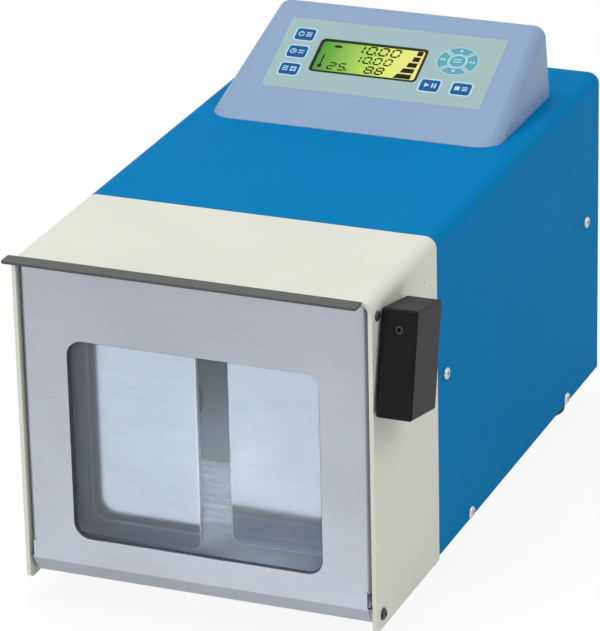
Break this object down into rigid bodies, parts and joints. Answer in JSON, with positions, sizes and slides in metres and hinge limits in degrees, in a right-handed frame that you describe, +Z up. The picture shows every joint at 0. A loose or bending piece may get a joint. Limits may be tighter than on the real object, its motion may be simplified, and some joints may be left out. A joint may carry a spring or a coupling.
{
  "type": "paddle blender homogenizer",
  "caption": "Bench-top homogenizer that squeezes a sample bag against a glazed drop-down door with driven paddles, with a latch handle and a sloping keypad console",
  "frame": {"origin": "on the bench under the middle of the machine's bounding box", "axes": "+Z up, -Y out of the door towards the user, +X to the user's right, where the latch handle is"},
  "size_m": [0.2452, 0.4174, 0.264],
  "materials": {
    "cream_paint": "satin powder coat",
    "blue_paint": "satin powder coat",
    "silver_paint": "fine satin silver coat",
    "bent_sheet": "galvanised sheet, dull",
    "chamber_steel": "satin stainless",
    "paddle_steel": "polished stainless",
    "bright_steel": "turned steel",
    "dark_steel": "black oxide",
    "cast_housing": "machined casting",
    "cast_aluminium": "machined",
    "bronze": "machined",
    "motor_paint": "matt",
    "console_plastic": "fine texture",
    "keypad_film": "printed film",
    "display": "backlit",
    "board_green": "solder mask",
    "black_plastic": "moulded",
    "handle_plastic": "machined block, fine grain",
    "blue_key": "printed",
    "arrow_key": "printed",
    "rubber_black": "matt",
    "gasket_rubber": "matt",
    "pane": "clear"
  },
  "bodies": {
    "machine": {"base_plate": "bent_sheet", "front_hood": "cream_paint", "rear_casing": "blue_paint", "rear_panel": "blue_paint", "front_fascia": "bent_sheet", "chamber_liner": "chamber_steel", "rod_seals": "rubber_black", "bush_housing": "cast_housing", "rod_bushes": "bronze", "crank_pedestals": "cast_housing", "crank_bearings": "bright_steel", "motor_bracket": "bent_sheet", "motor_body": "motor_paint", "drive_belt": "rubber_black", "power_supply": "board_green", "motor_driver": "board_green", "console_housing": "console_plastic", "keypad_overlay": "keypad_film", "lcd_module": "display", "control_board": "board_green", "mains_inlet": "black_plastic", "fuse_holder": "black_plastic", "switch_bezel": "black_plastic", "casing_screws": "bright_steel", "hood_screws": "dark_steel", "console_screws": "bright_steel", "latch_bushes": "black_plastic", "rubber_feet": "rubber_black"},
    "door": {"door_panel": "silver_paint", "door_glass": "pane", "door_gasket": "gasket_rubber", "glass_retainer": "bent_sheet", "catch_pins": "bright_steel"},
    "latch": {"latch_shaft": "bright_steel", "latch_hooks": "bright_steel", "handle_block": "handle_plastic", "handle_set_screw": "dark_steel"},
    "crank": {"crankshaft": "bright_steel", "eccentric_rings": "bronze", "crank_pulley": "cast_aluminium"},
    "left_ram": {"left_paddle": "paddle_steel", "left_push_rod": "bright_steel", "left_yoke": "cast_housing"},
    "right_ram": {"right_paddle": "paddle_steel", "right_push_rod": "bright_steel", "right_yoke": "cast_housing"},
    "rotor": {"motor_shaft": "bright_steel", "motor_pulley": "cast_aluminium"},
    "rocker": {"power_rocker": "black_plastic"},
    "key_upper_body": {"key_upper": "blue_key"},
    "key_middle_body": {"key_middle": "blue_key"},
    "key_lower_body": {"key_lower": "blue_key"},
    "key_start_body": {"key_start": "blue_key"},
    "key_stop_body": {"key_stop": "blue_key"},
    "arrow_up_body": {"arrow_up": "arrow_key"},
    "arrow_down_body": {"arrow_down": "arrow_key"},
    "arrow_left_body": {"arrow_left": "arrow_key"},
    "arrow_right_body": {"arrow_right": "arrow_key"},
    "key_enter_body": {"key_enter": "arrow_key"}
  },
  "joints": [
    {"name": "door_hinge", "type": "hinge", "parent": "machine", "child": "door", "pos_m": [-0.0104, -0.18795, 0.0221], "axis": [1, 0, 0], "range_deg": [0, 90]},
    {"name": "latch_turn", "type": "hinge", "parent": "machine", "child": "latch", "pos_m": [-0.0104, -0.16965, 0.1957], "axis": [1, 0, 0], "range_deg": [-45, 11.7]},
    {"name": "crank_turn", "type": "hinge", "parent": "machine", "child": "crank", "pos_m": [-0.0104, -0.04825, 0.114], "axis": [1, 0, 0], "range_deg": [0, 180]},
    {"name": "left_paddle_slide", "type": "slide", "parent": "machine", "child": "left_ram", "axis": [0, 1, 0], "range_m": [0, 0.016]},
    {"name": "right_paddle_slide", "type": "slide", "parent": "machine", "child": "right_ram", "axis": [0, -1, 0], "range_m": [0, 0.016]},
    {"name": "motor_spin", "type": "hinge", "parent": "machine", "child": "rotor", "pos_m": [0.0816, 0.07675, 0.086], "axis": [1, 0, 0], "range_deg": [0, 540]},
    {"name": "power_rock", "type": "hinge", "parent": "machine", "child": "rocker", "pos_m": [-0.0764, 0.19925, 0.098], "axis": [1, 0, 0], "range_deg": [0, 20]},
    {"name": "key_upper_press", "type": "slide", "parent": "machine", "child": "key_upper_body", "axis": [0, 0.4275, -0.904], "range_m": [0, 0.0005], "stiffness_N_per_m": 400},
    {"name": "key_middle_press", "type": "slide", "parent": "machine", "child": "key_middle_body", "axis": [0, 0.4275, -0.904], "range_m": [0, 0.0005], "stiffness_N_per_m": 400},
    {"name": "key_lower_press", "type": "slide", "parent": "machine", "child": "key_lower_body", "axis": [0, 0.4275, -0.904], "range_m": [0, 0.0005], "stiffness_N_per_m": 400},
    {"name": "key_start_press", "type": "slide", "parent": "machine", "child": "key_start_body", "axis": [0, 0.4275, -0.904], "range_m": [0, 0.0005], "stiffness_N_per_m": 400},
    {"name": "key_stop_press", "type": "slide", "parent": "machine", "child": "key_stop_body", "axis": [0, 0.4275, -0.904], "range_m": [0, 0.0005], "stiffness_N_per_m": 400},
    {"name": "arrow_up_press", "type": "slide", "parent": "machine", "child": "arrow_up_body", "axis": [0, 0.4275, -0.904], "range_m": [0, 0.0005], "stiffness_N_per_m": 400},
    {"name": "arrow_down_press", "type": "slide", "parent": "machine", "child": "arrow_down_body", "axis": [0, 0.4275, -0.904], "range_m": [0, 0.0005], "stiffness_N_per_m": 400},
    {"name": "arrow_left_press", "type": "slide", "parent": "machine", "child": "arrow_left_body", "axis": [0, 0.4275, -0.904], "range_m": [0, 0.0005], "stiffness_N_per_m": 400},
    {"name": "arrow_right_press", "type": "slide", "parent": "machine", "child": "arrow_right_body", "axis": [0, 0.4275, -0.904], "range_m": [0, 0.0005], "stiffness_N_per_m": 400},
    {"name": "key_enter_press", "type": "slide", "parent": "machine", "child": "key_enter_body", "axis": [0, 0.4275, -0.904], "range_m": [0, 0.0005], "stiffness_N_per_m": 400}
  ],
  "couplings": [
    {"joint": "left_paddle_slide", "follows": "crank_turn", "m_per_rad": 0.005093},
    {"joint": "right_paddle_slide", "follows": "crank_turn", "m_per_rad": 0.005093},
    {"joint": "motor_spin", "follows": "crank_turn", "ratio": 3}
  ]
}
